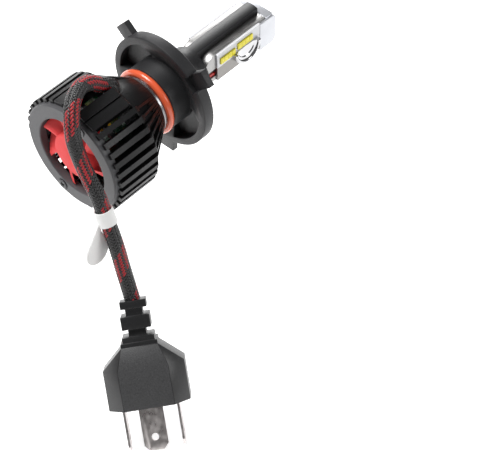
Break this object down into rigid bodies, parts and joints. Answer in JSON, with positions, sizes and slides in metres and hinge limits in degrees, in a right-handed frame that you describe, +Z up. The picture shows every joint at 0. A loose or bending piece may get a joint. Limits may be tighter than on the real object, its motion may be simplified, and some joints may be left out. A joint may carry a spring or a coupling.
{
  "type": "headlight bulb",
  "caption": "LED headlight bulb with an H4 collar, finned heat sink, tail fan and braided lead to a three-blade plug.",
  "frame": {"origin": "centre of the collar's front face, which seats on the lamp", "axes": "+Y along the bulb's axis towards the LED tip, +Z up, +X to the right seen from the tail"},
  "size_m": [0.0936, 0.1302, 0.1061],
  "materials": {
    "collar": "satin black anodised aluminium",
    "o_ring": "glossy orange-red silicone",
    "shoulder": "turned, bright",
    "sink": "satin black anodised aluminium",
    "ring": "charcoal, matte",
    "screw": "black oxide",
    "fan": "coral red, half gloss",
    "steel": "plain",
    "bronze": "sintered bronze",
    "iron": "laminated",
    "copper": "enamelled copper wire",
    "black_plastic": "matte",
    "board_green": "solder mask",
    "ferrite": "matte grey",
    "capacitor": "yellow case",
    "chip": "moulded",
    "wire": "silicone insulation",
    "wire_black": "silicone insulation",
    "mast": "matte black anodised copper core",
    "frame": "plated, fine brushed",
    "tip": "fine blasted",
    "board_white": "white solder mask",
    "phosphor": "yellow phosphor",
    "cup": "polished",
    "grommet": "matte",
    "braid": "black braid with a red tracer",
    "label": "white label film",
    "plug": "moulded, lightly textured top",
    "blade": "tinned, lightly scratched"
  },
  "bodies": {
    "bulb": {"collar": "collar", "o_ring": "o_ring", "neck_tube": "shoulder", "heat_sink": "sink", "retaining_ring": "ring", "ring_screws": "screw", "fan_bearing": "bronze", "fan_stator": "iron", "fan_coils": "copper", "fan_frame": "black_plastic", "fan_board": "board_green", "driver_board": "board_green", "power_inductor": "ferrite", "capacitors": "capacitor", "driver_chips": "chip", "fan_leads": "wire", "mast_core": "mast", "frame_left": "frame", "frame_right": "frame", "tip_cap": "tip", "board_left": "board_white", "board_right": "board_white", "high_beam_leds_left": "phosphor", "high_beam_leds_right": "phosphor", "low_beam_leds_left": "phosphor", "low_beam_leds_right": "phosphor", "beam_cup_left": "cup", "beam_cup_right": "cup", "mast_leads_red": "wire", "mast_leads_black": "wire_black", "cable_grommet": "grommet", "cord": "braid", "cord_tag": "label", "strain_relief": "plug", "plug_body": "plug", "plug_insert": "plug", "blade_top": "blade", "blade_left": "blade", "blade_right": "blade"},
    "rotor": {"fan_rotor": "fan", "fan_magnet": "iron", "fan_shaft": "steel"}
  },
  "joints": [
    {"name": "fan_spin", "type": "hinge", "parent": "bulb", "child": "rotor", "pos_m": [0, -0.042, 0], "axis": [0, 1, 0], "continuous": true}
  ]
}
